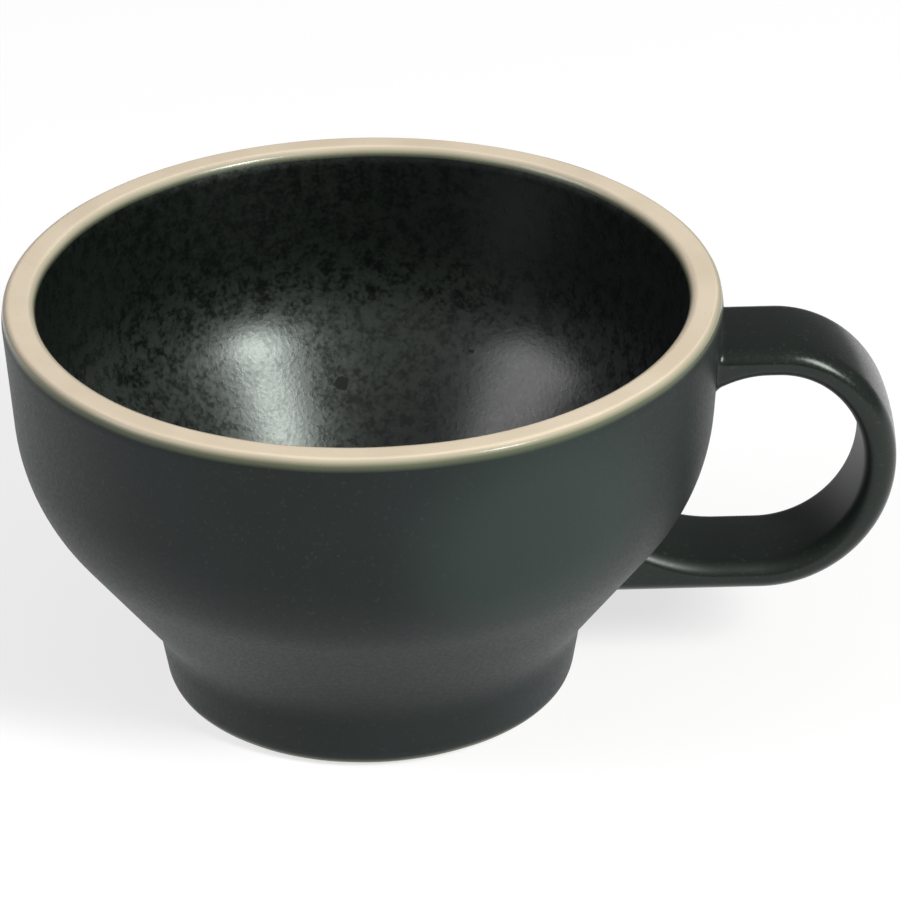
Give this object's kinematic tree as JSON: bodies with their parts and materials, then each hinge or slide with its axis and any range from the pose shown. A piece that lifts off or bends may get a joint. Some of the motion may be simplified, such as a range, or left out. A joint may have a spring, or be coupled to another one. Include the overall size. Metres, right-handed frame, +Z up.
{
  "type": "espresso cup",
  "caption": "Footed stoneware espresso cup: a round bowl on a short foot, a strap handle for one finger, dark glaze inside and out, and a bare clay rim.",
  "frame": {"origin": "centre of the foot ring's standing circle, on the surface that the cup stands on", "axes": "+Z up along the bowl's axis, +X from the axis towards the handle"},
  "size_m": [0.0945, 0.0758, 0.046],
  "materials": {
    "clay": "matte",
    "slip": "matte",
    "glaze": "satin"
  },
  "bodies": {
    "root": {"clay_bowl": "clay", "clay_handle": "clay", "upper_joint_slip": "slip", "lower_joint_slip": "slip", "inside_glaze": "glaze", "outside_glaze": "glaze", "handle_glaze": "glaze", "underside_glaze": "glaze"}
  },
  "joints": []
}
